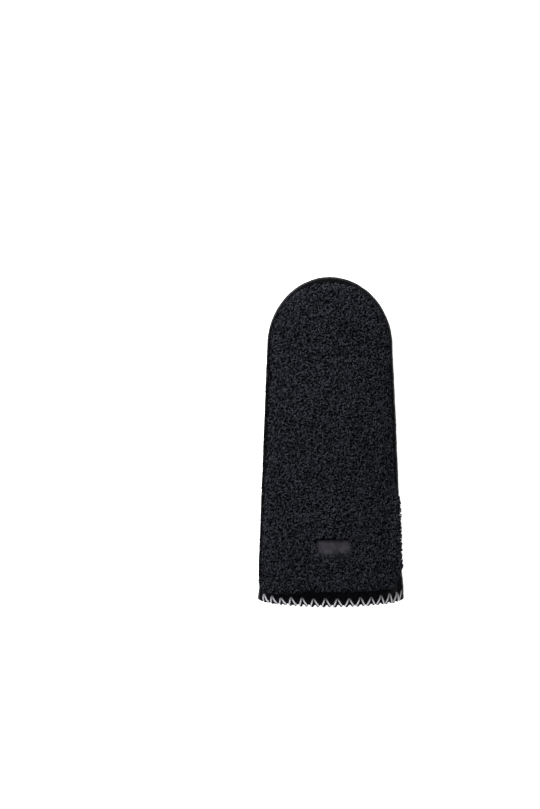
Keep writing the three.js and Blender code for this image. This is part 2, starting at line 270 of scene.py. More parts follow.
# A closed wall between two grids of points. A side where the grids meet is left open for merging,
# and the last strip takes the surface number that cutEdge gives.
def shell(name, outer, inner, leftOpen, surfaces, cutEdge=0):
    rows, columns = outer.shape[:2]
    near = np.arange(rows * columns).reshape(rows, columns)
    far = near + rows * columns
    faces, kinds = [], []

    def add(a, b, c, d, kind):
        quads = np.stack([np.ravel(a), np.ravel(b), np.ravel(c), np.ravel(d)], 1).tolist()
        faces.extend(quads)
        kinds.extend([kind] * len(quads))

    add(near[:-1, :-2], near[1:, :-2], near[1:, 1:-1], near[:-1, 1:-1], 0)
    add(near[:-1, -2], near[1:, -2], near[1:, -1], near[:-1, -1], cutEdge)
    add(far[:-1, :-1], far[:-1, 1:], far[1:, 1:], far[1:, :-1], 1)
    add(near[:-1, -1], near[1:, -1], far[1:, -1], far[:-1, -1], cutEdge)
    if "first column" not in leftOpen:
        add(near[1:, 0], near[:-1, 0], far[:-1, 0], far[1:, 0], 0)
    if "first row" not in leftOpen:
        add(near[0, :-1], near[0, 1:], far[0, 1:], far[0, :-1], 0)
    if "last row" not in leftOpen:
        add(near[-1, 1:], near[-1, :-1], far[-1, :-1], far[-1, 1:], 0)
    vertices = np.concatenate([outer.reshape(-1, 3), inner.reshape(-1, 3)])
    return makeObject(name, vertices, faces, kinds, surfaces)


def cutAway(piece, tool):  # cuts the tool out of the piece, and removes the tool
    modifier = piece.modifiers.new("cut", "BOOLEAN")
    modifier.operation = "DIFFERENCE"
    modifier.solver = "EXACT"
    modifier.object = tool
    takeResult(piece)
    bpy.data.objects.remove(tool)


def takeResult(piece):  # replaces a piece's mesh by what its modifiers make of it
    depsgraph = bpy.context.evaluated_depsgraph_get()
    result = bpy.data.meshes.new_from_object(piece.evaluated_get(depsgraph))
    piece.modifiers.clear()
    piece.data = result
    result.name = piece.name


def attach(piece, slot, *replaced):
    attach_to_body(piece, "root")
    if replaced:
        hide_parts(*replaced)


# Materials. Their patterns are sized in millimetres. Naps, fibres and plies are finer than the grain
# given here, and are drawn as coarse as they need to show.
def linear(hexColour):
    channels = [int(hexColour[k:k + 2], 16) / 255 for k in (1, 3, 5)]
    return [c / 12.92 if c <= 0.04045 else ((c + 0.055) / 1.055) ** 2.4 for c in channels]


def addNode(tree, kind, settings={}, inputs={}):  # an input is a value, or the socket that feeds it
    node = tree.nodes.new(kind)
    for name, value in settings.items():
        setattr(node, name, value)
    for key, value in inputs.items():
        if isinstance(value, bpy.types.NodeSocket):
            tree.links.new(value, node.inputs[key])
        else:
            node.inputs[key].default_value = value
    return node


plainLook = {  # what a look has unless it says otherwise
    "specular": 0.0,
    "patchDetail": 3,
    "grainDetail": 3,
    "spread": (0.35, 0.65),
    "sheen": 0,
    "sheenRoughness": 0.5,
    "sheenTint": "#ffffff",
    "glow": 0,
}
suedeLook = {  # matt black with a short nap, brushed a little lighter in soft patches
    "roughness": 0.95,
    "dark": "#0b0c0b",
    "light": "#181917",
    "patch": 11,
    "grain": 0.45,
    "grainDetail": 4,
    "grainStrength": 0.7,
    "grainDepth": 0.12,
    "sheen": 0.015,
    "sheenTint": "#9aa09c",
}
skinLook = {  # the smoother black leather of the hem, with a faint cold shine
    "roughness": 0.7,
    "specular": 0.02,
    "light": "#08080b",
    "grain": 0.7,
    "grainStrength": 0.6,
    "grainDepth": 0.08,
}
edgeLook = {  # the raw cut edge, a fine paler line: partly paler fibres of the black leather, partly a painted highlight where the rounded edge catches light
    "roughness": 0.95,
    "dark": "#1e1e1f",
    "light": "#4e4e50",
    "patch": 1.8,
    "patchDetail": 4,
    "grain": 0.45,
    "grainStrength": 0.8,
    "grainDepth": 0.1,
}
insideLook = {  # the short dense wool inside, matt, in small dark tufts
    "roughness": 1.0,
    "dark": "#0b0b0e",
    "light": "#24252a",
    "patch": 2.4,
    "grain": 2.4,
    "grainStrength": 1.0,
    "grainDepth": 0.9,
    "sheen": 0.02,
    "sheenTint": "#8a8c94",
}
woolLook = {  # dark navy-charcoal curls, with painted light on their tops and painted shade, nearly black, in the gaps
    "roughness": 0.9,
    "specular": 0.01,
    "dark": "#050506",
    "light": "#292b30",
    "spread": (0.03, 1.0),
    "paintedShadeBy": ("rise", "shade"),
    "contrast": 1.5,
    "patch": 1.1,
    "mottle": (0.55, 1.25),
    "grain": 0.35,
    "grainStrength": 0.8,
    "grainDepth": 0.08,
    "sheen": 0.03,
    "sheenRoughness": 0.4,
    "sheenTint": "#a8aab8",
}
groundLook = {  # the wool's ground that shows between the curls, painted nearly black as the shade in the gaps
    "roughness": 1.0,
    "dark": "#030304",
    "light": "#0c0c0f",
    "patch": 1.6,
    "grain": 1.6,
    "grainStrength": 1.0,
    "grainDepth": 0.8,
}
labelLook = {  # purple-grey leather with a low shine
    "roughness": 0.85,
    "specular": 0.04,
    "dark": "#242226",
    "light": "#323035",
    "patch": 4,
    "grain": 0.6,
    "grainStrength": 0.7,
    "grainDepth": 0.1,
}
threadLook = {  # waxed thread, a touch smoother than the leather
    "roughness": 0.8,
    "specular": 0.05,
    "spread": (0.3, 0.85),
    "grain": 0.25,
    "grainDetail": 2,
    "grainStrength": 0.6,
    "grainDepth": 0.06,
}


def toneAndPaintedShade(tree, look, patches):  # how light a place is, by the painted shade that the mesh carries there, and on the curls also their random tone and mottle
    add = partial(addNode, tree)
    carried = {}
    for name in look["paintedShadeBy"]:
        carried[len(carried)] = add("ShaderNodeAttribute", {"attribute_name": name}).outputs["Fac"]
    if len(carried) == 1:
        return carried[0]
    lit = add("ShaderNodeMath", {"operation": "MULTIPLY"}, carried).outputs[0]
    level = add("ShaderNodeMath", {"operation": "POWER"}, {0: lit, 1: look["contrast"]}).outputs[0]
    low, high = look["mottle"]
    span = {"Value": patches, "From Min": 0.3, "From Max": 0.7, "To Min": low, "To Max": high}
    mottle = add("ShaderNodeMapRange", inputs=span).outputs[0]
    return add("ShaderNodeMath", {"operation": "MULTIPLY"}, {0: level, 1: mottle}).outputs[0]


def makeMaterial(name, changes):  # dark to light by soft patches, or by the painted shade that the mesh carries
    look = {**plainLook, **changes}
    material = bpy.data.materials.new(name)
    material.use_nodes = True
    tree = material.node_tree
    tree.nodes.clear()
    add = partial(addNode, tree)
    place = add("ShaderNodeTexCoord").outputs["Object"]
    noise = {}
    for part in ("patch", "grain"):
        if part in look:
            inputs = {"Vector": place, "Scale": 1 / (look[part] * mm), "Detail": look[part + "Detail"]}
            noise[part] = add("ShaderNodeTexNoise", inputs=inputs).outputs["Fac"]
    inputs = {
        "Base Color": (*linear(look["light"]), 1),
        "Roughness": look["roughness"],
        "Specular IOR Level": look["specular"],
        "Sheen Weight": look["sheen"],
        "Sheen Roughness": look["sheenRoughness"],
        "Sheen Tint": (*linear(look["sheenTint"]), 1),
        "Emission Color": (1, 1, 1, 1),
        "Emission Strength": look["glow"],
    }
    level = noise.get("patch")
    if "paintedShadeBy" in look:
        level = toneAndPaintedShade(tree, look, level)
    if level is not None:
        ramp = add("ShaderNodeValToRGB", inputs={"Fac": level})
        colours = (look["dark"], look["light"])
        for stop, share, colour in zip(ramp.color_ramp.elements, look["spread"], colours):
            stop.position = share
            stop.color = (*linear(colour), 1)
        inputs["Base Color"] = ramp.outputs["Color"]
    if "grain" in noise:
        depth = {"Strength": look["grainStrength"], "Distance": look["grainDepth"] * mm}
        bump = add("ShaderNodeBump", inputs={"Height": noise["grain"], **depth})
        inputs["Normal"] = bump.outputs["Normal"]
    shader = add("ShaderNodeBsdfPrincipled", inputs=inputs)
    add("ShaderNodeOutputMaterial", inputs={"Surface": shader.outputs[0]})
    return material


greyLook = {  # pale grey thread on the black hem, with painted shade where it dives into the leather
    **threadLook,
    "dark": "#68686c",
    "light": "#a8a8ac",
    "paintedShadeBy": ("rise",),
}
blackLook = {**threadLook, "light": "#191a1a"}  # a touch lighter than the suede
dimLook = {**threadLook, "light": "#0f0f11"}  # darker than the label
materials = {
    "suede": makeMaterial("black suede", suedeLook),
    "skin": makeMaterial("black sheepskin leather", skinLook),
    "inside": makeMaterial("shorn black wool", insideLook),
    "cutEdge": makeMaterial("raw cut edge of black leather", edgeLook),
    "wool": makeMaterial("curly charcoal wool", woolLook),
    "ground": makeMaterial("charcoal wool ground", groundLook),
    "label": makeMaterial("purple-grey leather", labelLook),
    "greyThread": makeMaterial("light grey thread", greyLook),
    "blackThread": makeMaterial("black thread", blackLook),
    "labelThread": makeMaterial("dark grey thread", dimLook),
}
print("materials ready")


# Node trees that grow the curls and the stitches
def startTree(name, sockets):  # sockets gives each input's name and kind
    tree = bpy.data.node_groups.new(name, "GeometryNodeTree")
    for socket, kind in {"Geometry": "Geometry", **sockets}.items():
        tree.interface.new_socket(socket, in_out="INPUT", socket_type="NodeSocket" + kind)
    tree.interface.new_socket("Geometry", in_out="OUTPUT", socket_type="NodeSocketGeometry")
    return tree, addNode(tree, "NodeGroupInput").outputs


def finishTree(tree, geometry, material):
    real = addNode(tree, "GeometryNodeRealizeInstances", inputs={"Geometry": geometry})
    dressed = {"Geometry": real.outputs[0], "Material": material}
    finished = addNode(tree, "GeometryNodeSetMaterial", inputs=dressed)
    addNode(tree, "NodeGroupOutput", inputs={0: finished.outputs[0]})
    return tree


def grow(piece, tree, values, slot):  # runs the tree on the piece and keeps what it makes
    sockets = {item.name: item.identifier for item in tree.interface.items_tree if item.in_out == "INPUT"}
    modifier = piece.modifiers.new("grow", "NODES")
    modifier.node_group = tree
    for name, value in values.items():
        modifier[sockets[name]] = value
    takeResult(piece)
    attach(piece, slot)
    print("made", piece.name, len(piece.data.polygons), "faces")


# The two sewn panels
panel = {
    "step": 3.0,
    "palmColumns": 44,
    "backColumns": 96,
    "edgeWave": 0.22,
    "edgeExtra": 0.9,
    "edgeRight": 0.5,
    "edgeRightSpan": (215, 150),
    "edgeCorner": 0.9,
    "edgeCornerSpan": (28, 16),
    "edgeDent": 1.1,
    "edgeDentAt": 15,
    "edgeDentHalf": 9,
    "backInset": 0.7,
    "softness": 0.25,
    "edgeRounding": [(0.35, 0.0), (0.7, 0.06), (0.86, 0.2), (1.0, 0.55)],
    "corner": 2.4,
    "notch": 2.0,
    "notchReach": 3.5,
    "nub": 0.5,
    "nubFrom": 0.05,
    "leftNub": (0.11, 0.17),
    "rightNub": (-0.05, 0.14),
    "rightNubShare": 0.85,
    "woolLumps": 0.45,
    "seamOverlap": 0.05,
}
hemStitch = {
    "count": 15,
    "first": -6.45,
    "turn": math.radians(8.39),
    "roundness": 1.12,
    "height": 6.9,
    "leftFoot": 0.27,
    "rightFoot": 0.41,
    "leftFan": 0.18,
    "rightFan": 0.1,
    "leftLower": 1.2,
    "ply": 0.39,
    "stand": 0.5,
    "arch": 1.0,
    "rightHigher": 1.5,
    "topWave": 0.3,
    "leftLowerAt": 1.6,
    "leftLowerHalf": 0.9,
    "holeWidth": 0.07,
    "plyPoints": 30,
    "plyTurns": 3.5,
}


def hemPlace(stitch):  # where a stitch of the hem stands across; the spacing shrinks to the sides
    turned = (np.asarray(stitch, float) + hemStitch["first"]) * hemStitch["turn"]
    return hemStitch["roundness"] * hemWidth / 2 * np.sin(turned)


def feetOf(side):  # where the two legs of a stitch end, in stitches; side runs from -1 to 1 across
    left = -(hemStitch["leftFoot"] + hemStitch["leftFan"] * side)
    return left, hemStitch["rightFoot"] - hemStitch["rightFan"] * side


def hemNotch(x, y):  # how far the thread draws the leather in: two nubs of it stand under each stitch
    turned = np.arcsin(np.clip(x / (hemStitch["roundness"] * hemWidth / 2), -1, 1))
    stitch = turned / hemStitch["turn"] - hemStitch["first"]
    place = stitch - np.round(stitch - panel["nubFrom"])
    domes = []
    for foot, (middle, half) in zip(feetOf(x / (hemWidth / 2)), (panel["leftNub"], panel["rightNub"])):
        domes.append(np.maximum(1 - ((place - foot - middle) / half) ** 2, 0))
    nubs = np.maximum(domes[0], panel["rightNubShare"] * domes[1])
    drawn = panel["notch"] * (1 - np.sqrt(nubs)) - panel["nub"]
    return drawn * (1 - smooth(shape["hemBow"], shape["hemBow"] + panel["notchReach"], y))


def edgeReach(x, y, isBack):  # how far the raw edge stands out past the stitch line
    right = panel["edgeRight"] * smooth(*panel["edgeRightSpan"], y)
    right = right + panel["edgeCorner"] * smooth(*panel["edgeCornerSpan"], y)
    left = -panel["edgeDent"] * np.exp(-((y - panel["edgeDentAt"]) / panel["edgeDentHalf"]) ** 2)
    beyond = np.where(x > 0, right, left) - panel["backInset"] * isBack
    return shape["seamEdge"] + panel["edgeExtra"] + beyond


def sewnPanel(name, height, wall, edgeSide, isBack, surfaces):
    line, middle = stationsAround(panel["step"], shape["hemBow"], lambda sign, y: shape["seamEdge"])
    outward = unit(line - middle)
    columns = panel["backColumns"] if isBack else panel["palmColumns"]
    shares = np.sin(np.linspace(0, math.pi / 2, columns + 1))
    grids = []
    for sink in (0, wall):
        last = line - outward * sink
        plan = middle[:, None] + (last - middle)[:, None] * shares[None, :, None]
        if isBack:
            startY = plan[..., 1].copy()
            plan = bowed(plan)
            plan[..., 1] += hemNotch(plan[..., 0], startY)
        x, y = plan[..., 0], plan[..., 1]
        z = height(x, y, np.broadcast_to(shares, x.shape), sink)
        free = smooth(0, 12, z) if not isBack else 1  # what rests on the surface stays flat
        z = z + panel["softness"] * free * unevenness(x, y, 34) * (1 - shares ** 4)
        if sink > 0:  # the wool inside is a little lumpy
            z = z - edgeSide * panel["woolLumps"] * (1 + unevenness(x, y, 6.5)) * (1 - shares ** 6)
        body = np.stack([x, y, z], -1)
        rim = []
        for share, drop in panel["edgeRounding"]:
            wave = panel["edgeWave"] * unevenness(line[:, 0], line[:, 1], 16) * share
            reach = edgeReach(line[:, 0], line[:, 1], isBack) * share
            edge = line + outward * (reach + wave)[:, None]
            nearHem = 1 - smooth(0, 4, line[:, 1] - shape["hemBow"])
            edge[:, 1] += panel["corner"] * (1 - math.sqrt(1 - share * share)) * nearHem
            if sink == 0:
                thick = shape["seamEdgeThick"] * (1 - drop)
            else:
                thick = 0.25 * drop - panel["seamOverlap"]
            z = seamZ(edge[:, 0], edge[:, 1]) + edgeSide * thick
            rim.append(np.stack([edge[:, 0], edge[:, 1], z], -1))
        grids.append(np.concatenate([body, np.stack(rim, 1)], 1))
    return shell(name, grids[0], grids[1], ["first column"], surfaces, 2)


def ovalPrism(name, centre, a, b, low, high, sides=128):
    angles = np.linspace(0, 2 * math.pi, sides, endpoint=False)
    ring = np.stack([centre[0] + a * np.cos(angles), centre[1] + b * np.sin(angles)], 1)
    vertices = [(x, y, low) for x, y in ring] + [(x, y, high) for x, y in ring]
    faces = [[k, (k + 1) % sides, sides + (k + 1) % sides, sides + k] for k in range(sides)]
    faces += [list(range(sides))[::-1], list(range(sides, 2 * sides))]
    return makeObject(name, np.array(vertices), faces, [0] * len(faces), [])


palmSurfaces = [materials["suede"], materials["inside"], materials["cutEdge"]]
palm = sewnPanel("palm", palmHeight, shape["palmWall"], -1, False, palmSurfaces)
hole = ovalPrism(
    "hole",
    thumbBase,
    thumb["baseWidth"] / 2 + shape["seamGap"],
    thumb["baseLength"] / 2 + shape["seamGap"],
    -50,
    80,
)
cutAway(palm, hole)
attach(palm, "suede", "palm_panel")
backSurfaces = [materials["skin"], materials["inside"], materials["cutEdge"]]
back = sewnPanel("back_skin", backHeight, shape["backWall"], 1, True, backSurfaces)
attach(back, "skin", "back_panel")
print("panels ready")


# The thumb
thumbFine = {"columns": 40, "tubeRings": 12, "tipRings": 12, "wrinkle": 0.35, "flat": 0.6}
thumbRings = [  # as the solids have them, with more rings between
    {"turn": 0, "fall": 0, "stand": 1, "ridge": 0},
    {"turn": 0, "fall": 0, "stand": 0, "ridge": 0},
    {"turn": 0.06, "fall": 0.62, "stand": 0, "ridge": 0.3},
    {"turn": 0.17, "fall": 0.86, "stand": 0, "ridge": 0.7},
    {"turn": 0.34, "fall": 0.96, "stand": 0, "ridge": 1},
    {"turn": 0.55, "fall": 1, "stand": 0, "ridge": 1},
    {"turn": 0.78, "fall": 1, "stand": 0, "ridge": 1},
    {"turn": 1, "fall": 1, "stand": 0, "ridge": 1},
]


def ringsBetween(count):  # the table's rings with in-between ones, evenly in each stretch
    found = []
    for a, b in zip(thumbRings, thumbRings[1:]):
        for k in range(count):
            found.append({key: mix(a[key], b[key], k / count) for key in a})
    return found


def thumbHalf(name, isFront):
    middle = thumb["thick"] / 2
    facing = -1 if isFront else 1
    press = thumb["press"] if isFront else 0
    gap = shape["seamGap"]
    clear = 2 * gap / (thumb["baseWidth"] + thumb["baseLength"])
    if isFront:
        low, high = thumb["heel"] + clear, 2 * math.pi + thumb["apex"] - clear
    else:
        low, high = thumb["apex"] + clear, thumb["heel"] - clear
    place = np.linspace(0, 1, thumbFine["columns"] + 1)
    isEdge = (place == 0) | (place == 1)
    nearEdge = 1 - smooth(0, 0.05, np.minimum(place, 1 - place))
    turned = math.pi * (1 + place if isFront else place)
    power = 2 / thumb["square"]
    side = np.sign(np.cos(turned)) * np.abs(np.cos(turned)) ** power
    side = np.where(isEdge, np.sign(np.cos(turned)), side)
    up = np.where(isEdge, 0, np.abs(np.sin(turned)) ** power)
    away = np.sign(side)

    def onOval(sink, stand):
        angle = mix(low, high, place)
        x = thumbBase[0] + (thumb["baseWidth"] / 2 - sink) * np.cos(angle)
        y = thumbBase[1] + (thumb["baseLength"] / 2 - sink) * np.sin(angle)
        z = palmHeight(x, y, 1 - inward(x, y), 0) + mix(-shape["seatGap"], shape["palmWall"], stand)
        return np.stack([x, y, z], -1)

    def onTube(sink, along, half, full, ridge, ridgeTurn):
        lip = nearEdge * (ridge if sink == 0 else 0)
        forward = along + lip * math.sin(ridgeTurn)
        across = side * half + away * lip * math.cos(ridgeTurn)
        plan = thumbRoot + thumbAxis * forward[:, None] + thumbAcross * across[:, None]
        deep = max((middle - gap / 2 + press) * full - sink, 0)
        z = np.maximum(middle + facing * (gap / 2 + deep * up), sink)
        return np.concatenate([plan, z[:, None]], 1)

    outer, inner = [], []
    for ring in ringsBetween(3):
        for grid, sink in ((outer, 0), (inner, shape["thumbWall"])):
            start = onOval(sink, ring["stand"])
            end = onTube(sink, 0, thumb["rootWidth"] / 2 - sink, 1, 0, 0)
            points = mix(start, end, ring["turn"])
            points[:, 2] = mix(start[:, 2], end[:, 2], ring["fall"])
            lip = nearEdge * away * (thumb["ridge"] * ring["ridge"] if sink == 0 else 0)
            points[:, :2] += thumbAcross * lip[:, None]
            grid.append(points)
    for share in np.linspace(0, 1, thumbFine["tubeRings"] + 1):
        half = mix(thumb["rootWidth"], thumb["tipWidth"], share) / 2
        outer.append(onTube(0, thumb["tube"] * share, half, 1, thumb["ridge"], 0))
        wall = shape["thumbWall"]
        inner.append(onTube(wall, thumb["tube"] * share, half - wall, 1, 0, 0))
    for k in range(1, thumbFine["tipRings"] + 1):
        turn = math.pi / 2 * k / thumbFine["tipRings"]
        atEnd = k == thumbFine["tipRings"]
        full = 0 if atEnd else math.cos(turn) ** thumb["tipFull"]
        for grid, sink in ((outer, 0), (inner, shape["thumbWall"])):
            radius = thumb["tipWidth"] / 2 - sink
            half = 0 if atEnd else radius * math.cos(turn)
            lip = thumb["ridge"] if not atEnd or sink else thumb["ridge"] * isEdge
            grid.append(onTube(sink, thumb["tube"] + radius * math.sin(turn), half, full, lip, turn))
    outer, inner = np.stack(outer), np.stack(inner)
    away = smooth(2, 9, np.linspace(0, len(outer), len(outer)))[:, None] * up[None]
    soft = thumbFine["wrinkle"] * unevenness(outer[..., 0], outer[..., 1], 17) * away
    free = outer[..., 2] > thumbFine["flat"]
    outer[..., 2] += np.where(free, facing * (soft - thumbFine["wrinkle"]), 0)
    thumbGrids.append(outer)
    return shell(name, outer, inner, ["last row"], [materials["suede"], materials["inside"]])


thumbGrids = []  # the outer points of both halves, for the stitches beside their seams
thumbFront = thumbHalf("thumb_front_suede", True)
thumbBack = thumbHalf("thumb_back_suede", False)
attach(thumbFront, "suede", "thumb_front")
attach(thumbBack, "suede", "thumb_back")
print("thumb ready")


# The wool on the back
wool = {
    "depth": 6.4,
    "rim": 1.4,
    "shortening": 11,
    "hem": 9,
    "sideLeft": 3.4,
    "sideRight": 4.6,
    "top": 1.6,
    "cornerLeft": 6,
    "cornerRight": 16,
    "pitch": 1.5,
    "columns": 56,
    "tuft": 0.6,
    "tuftSize": 5.0,
    "tuftRows": 0.87,
    "tuftJitter": 0.33,
    "tuftReach": 0.62,
    "tuftSeed": 21,
    "ground": 1.7,
    "overhang": 4.6,
    "overhangFrom": 20,
    "overhangTo": 104,
    "overhangStart": 14,
    "overhangEnd": 20,
    "overhangShare": 0.28,
}
label = {
    "width": 29,
    "height": 14.5,
    "thick": 1.2,
    "up": 49,
    "right": 2.6,
    "seat": 2.6,
    "gap": 0.8,
    "corner": 2,
    "tilt": 0.07,
    "lift": 0.1,
    "moat": 1.6,
    "covered": {"left": -1.3, "right": 2.2, "above": -1.6, "below": 4.0},
}


def tufts(x, y):  # small domes side by side, as high as 1 in their middles and 0 in the creases
    chance = np.random.default_rng(wool["tuftSeed"])
    size = wool["tuftSize"]
    bent = shape["handWidth"] / 2 * 1.2
    spread = bent * np.arcsin(np.clip(x / (bent * 1.02), -1, 1))  # round tufts down the sides too
    rowStep = size * wool["tuftRows"]
    rows = math.ceil((length + 4 * size) / rowStep)
    columns = math.ceil(2.6 * bent / size) + 4
    row, column = np.mgrid[0:rows, 0:columns]
    across = (column + row % 2 / 2) * size - columns * size / 2
    centres = np.stack([across, row * rowStep - 2 * size], -1)
    jitter = wool["tuftJitter"]
    centres = (centres + chance.uniform(-jitter, jitter, centres.shape) * size).reshape(-1, 2)
    tree = KDTree(len(centres))
    for number, (u, v) in enumerate(centres):
        tree.insert((u, v, 0), number)
    tree.balance()
    near = [tree.find((u, v, 0))[2] for u, v in zip(spread.ravel(), y.ravel())]
    near = np.array(near).reshape(x.shape)
    return 1 - np.minimum(near / (size * wool["tuftReach"]), 1) ** 2


def woolGrid():
    start = shape["hemBow"] + wool["hem"]

    def distanceFromEdge(sign, y):
        side = mix(wool["sideLeft"], wool["sideRight"], (1 + max(min(sign, 1), -1)) / 2)
        corner = wool["cornerLeft"] if sign < 0 else wool["cornerRight"]
        inCorner = max(1 - (y - start) / corner, 0)
        rounding = corner * (1 - math.sqrt(1 - inCorner * inCorner))
        return side + rounding + wool["top"] * float(smooth(roundFrom, length, y))

    line, middle = stationsAround(wool["pitch"], start, distanceFromEdge)
    columns = wool["columns"]
    lastShare = 1 - inward(line[:, 0], line[:, 1])
    lastAngle = np.arcsin(lastShare)
    shares = np.sin(lastAngle[:, None] * np.linspace(0, 1, columns + 1)) / lastShare[:, None]
    plan = bowed(middle[:, None] + (line - middle)[:, None] * shares[..., None])
    x, y = plan[..., 0], plan[..., 1]
    fromHem = middle[:, 1:2] - start
    seat = shape["seatGap"] + (wool["rim"] - shape["seatGap"]) * (1 - smooth(0, 4, fromHem))
    seat = np.broadcast_to(seat, x.shape)
    under = overBack(x, y, seat)
    steps = np.linalg.norm(np.diff(under, axis=1), axis=2)
    toEdge = np.concatenate([np.cumsum(steps[:, ::-1], 1)[:, ::-1], np.zeros((len(x), 1))], 1)
    near = np.clip(np.minimum(toEdge, fromHem) / wool["shortening"], 0, 1)
    depth = mix(wool["rim"], wool["depth"] - wool["ground"], np.sqrt(1 - (1 - near) ** 2))
    lumps = wool["tuft"] * (tufts(x, y) - 0.75) * mix(0.3, 1, near)
    top = overBack(x, y, seat + depth + lumps)
    low, high = wool["overhangFrom"], wool["overhangTo"]
    along = smooth(low, low + wool["overhangStart"], y) * (x > 0)
    along = along * smooth(high, high - wool["overhangEnd"], y)
    outer = (np.linspace(0, 1, columns + 1) - (1 - wool["overhangShare"])) / wool["overhangShare"]
    bulge = np.sin(math.pi * np.clip(outer, 0, 1))
    top[..., 0] += wool["overhang"] * along * bulge  # the wool hangs over the seam low on the right
    return top, under


woolTop, woolUnder = woolGrid()
groundSurfaces = [materials["ground"], materials["ground"]]
ground = shell("fleece_ground", woolTop, woolUnder, ["first column"], groundSurfaces)


def labelOutline(width, height, corner, steps=6):
    points = []
    for quarter, (sx, sy) in enumerate([(1, 1), (-1, 1), (-1, -1), (1, -1)]):
        for k in range(steps + 1):
            angle = math.pi / 2 * (quarter + k / steps)
            points.append((
                sx * (width / 2 - corner) + corner * math.cos(angle),
                sy * (height / 2 - corner) + corner * math.sin(angle),
            ))
    return np.array(points + points[:1])


def slabOnBack(name, width, height, corner, low, high, surfaces, tilt=0, shift=(0, 0)):
    outline = labelOutline(width, height, corner)
    shares = np.array([0, 0.2, 0.4, 0.6, 0.8, 0.94, 1.0])
    drops = np.array([0, 0, 0, 0, 0, 0.05, 0.35])
    x = label["right"] + shift[0] + outline[:, 0:1] * shares
    y = label["up"] + shift[1] + outline[:, 1:2] * shares
    raised = -tilt * (y - label["up"])
    thick = high - low
    top = overBack(x, y, np.full_like(x, high) + raised - np.minimum(thick, 1) * drops)
    bottom = overBack(x, y, np.full_like(x, low) + raised)
    return shell(name, top, bottom, ["first column", "first row", "last row"], surfaces)


window = slabOnBack(
    "window",
    label["width"] + 2 * label["gap"] + label["moat"],
    label["height"] + 2 * label["gap"] + label["moat"],
    label["corner"] + label["gap"],
    label["seat"],
    label["seat"] + 12,
    [],
    shift=(-label["moat"] / 2, label["moat"] / 2),
)
cutAway(ground, window)
attach(ground, "wool", "back_fleece")
labelFrom = label["seat"] + shape["seamGap"]
labelPiece = slabOnBack(
    "label_leather",
    label["width"],
    label["height"],
    label["corner"],
    labelFrom + label["lift"],
    labelFrom + label["lift"] + label["thick"],
    [materials["label"], materials["label"]],
    label["tilt"],
)
attach(labelPiece, "label", "label_patch")
print("wool ground and label ready")


# The curls
curl = {
    "spacing": 1.6,
    "thick": 0.7,
    "pieces": 5,
    "seed": 7,
    "tilt": 0.5,
    "small": 0.6,
    "large": 1.0,
    # painted shade and light: edgeShade darkens the band along the seam, hemShade darkens the wool at the
    # hem and tipShade lightens it to the fingertips
    "edgeShade": 0.12,
    "hemShade": 0.955,
    "tipShade": 1.085,
    "hemShadeSpan": (15, 60),
    "tipShadeSpan": (45, 12),
    "shadeSoftness": 0.6,
    # lowLight: how light the painted shade leaves the foot of a coil
    "lowLight": 0.35,
    "darkest": 0.5,
    "lightest": 1.22,
}
paintedShadeBand = {  # how far from the outline the wool is painted nearly black as the seam's shade, and shorter
    "left": 2.3,
    "upperLeft": 3.2,
    "right": 3.4,
    "lowerRight": -3.0,
    "corner": 10.5,
    "top": 6.0,
    "hemLeft": 0.2,
    "hem": 3.8,
    "leftSpan": (95, 150),
    "rightSpan": (86, 104),
    "cornerSpan": (8, 22),
    "hemSpan": (-52, -15),
}
curlShapes = [  # turns of each coil, its radius, how much it tightens, its rise and its drift sideways
    {"turns": 0.7, "radius": 1.25, "tighten": 0.1, "height": 0.9, "drift": 0.0},
    {"turns": 1.1, "radius": 1.05, "tighten": 0.4, "height": 1.2, "drift": 0.3},
    {"turns": 0.4, "radius": 1.75, "tighten": 0.0, "height": 1.1, "drift": 0.2},
    {"turns": 1.35, "radius": 0.85, "tighten": 0.3, "height": 1.2, "drift": 0.9},
    {"turns": 0.9, "radius": 0.8, "tighten": -0.4, "height": 1.0, "drift": 1.4},
]


def squareTo(line, aim):  # two directions across a line of points, square to each other
    along = unit(np.gradient(line, axis=0))
    beside = unit(np.cross(along, aim))
    return beside, np.cross(along, beside)


def tubePoints(spine, radii, sides):  # rings of points round a line of points
    beside, over = squareTo(spine, [0.31, 0.17, 0.93])
    turns = np.linspace(0, 2 * math.pi, sides, endpoint=False)
    ring = beside[:, None] * np.cos(turns)[None, :, None] + over[:, None] * np.sin(turns)[None, :, None]
    return spine[:, None] + ring * radii[:, None, None]


def tubeFaces(rings, sides, first=0):
    index = np.arange(rings * sides).reshape(rings, sides) + first
    faces = []
    for i in range(rings - 1):
        for j in range(sides):
            k = (j + 1) % sides
            faces.append([int(v) for v in (index[i, j], index[i, k], index[i + 1, k], index[i + 1, j])])
    faces.append([int(v) for v in index[0][::-1]])
    faces.append([int(v) for v in index[-1]])
    return faces


def curlMesh(number, facts, rings=9, sides=5):  # one coil, with how high each point of it stands, for painted shade low on the coil
    share = np.linspace(0, 1, rings)
    angle = 2 * math.pi * facts["turns"] * (share - 0.5)
    radius = facts["radius"] * (1 - facts["tighten"] * share)
    spine = np.stack([
        radius * np.cos(angle) + facts["drift"] * (share - 0.5) - facts["radius"] * 0.35,
        radius * np.sin(angle),
        facts["height"] * (0.25 + 0.75 * np.sin(math.pi * np.minimum(share * 1.15, 1))),
    ], 1)
    radii = curl["thick"] * np.array([0.5, 0.8, *[1.0] * (rings - 4), 0.8, 0.45])
    points = tubePoints(spine, radii, sides).reshape(-1, 3)
    mesh = bpy.data.meshes.new(f"curl_{number}")
    mesh.from_pydata((points * mm).tolist(), [], tubeFaces(rings, sides))
    # rise is painted shade: the coil is painted darker low down and lighter at its top
    rise = mesh.attributes.new("rise", "FLOAT", "POINT")
    top = facts["height"] + curl["thick"]
    low = curl["lowLight"]
    rise.data.foreach_set("value", np.clip(points[:, 2] / top * (1 - low) + low, 0, 1))
    mesh.shade_smooth()
    return bpy.data.objects.new(mesh.name, mesh)


